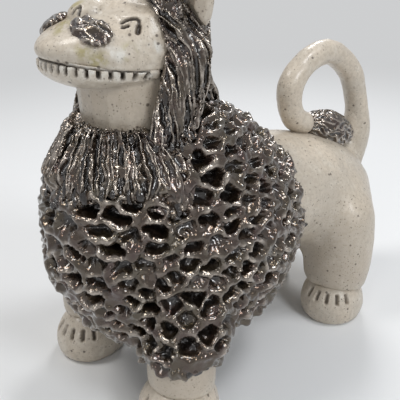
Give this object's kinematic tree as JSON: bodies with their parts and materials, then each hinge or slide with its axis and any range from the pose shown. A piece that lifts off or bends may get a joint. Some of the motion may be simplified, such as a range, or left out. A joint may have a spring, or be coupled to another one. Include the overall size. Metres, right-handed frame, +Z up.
{
  "type": "pottery lion figurine",
  "caption": "Hand-built stoneware lion standing on rounded paws, with a dark pitted and combed glazed mane, a toothed smile and a tail coil looped over its back; a shelf ornament.",
  "frame": {"origin": "on the table, under the middle of the figure's bounding box", "axes": "+Z up, the lion faces -Y, its left side is +X"},
  "size_m": [0.0992, 0.1862, 0.1687],
  "materials": {
    "speckled_clay": "clear satin glaze over pale speckled stoneware",
    "mane_glaze": "dark metallic brown-black glaze"
  },
  "bodies": {
    "root": {"torso": "speckled_clay", "front_left_paw": "speckled_clay", "front_left_leg": "speckled_clay", "hind_left_paw": "speckled_clay", "hind_left_leg": "speckled_clay", "front_right_paw": "speckled_clay", "front_right_leg": "speckled_clay", "hind_right_paw": "speckled_clay", "hind_right_leg": "speckled_clay", "head": "speckled_clay", "lower_jaw": "speckled_clay", "neck": "speckled_clay", "nose": "speckled_clay", "left_ear": "speckled_clay", "right_ear": "speckled_clay", "tail": "speckled_clay", "left_whisker_pad": "mane_glaze", "right_whisker_pad": "mane_glaze", "mane_cape": "mane_glaze", "left_ruff": "mane_glaze", "right_ruff": "mane_glaze", "beard": "mane_glaze", "nape_mane": "mane_glaze", "forelock": "mane_glaze", "tail_tuft": "mane_glaze"}
  },
  "joints": []
}
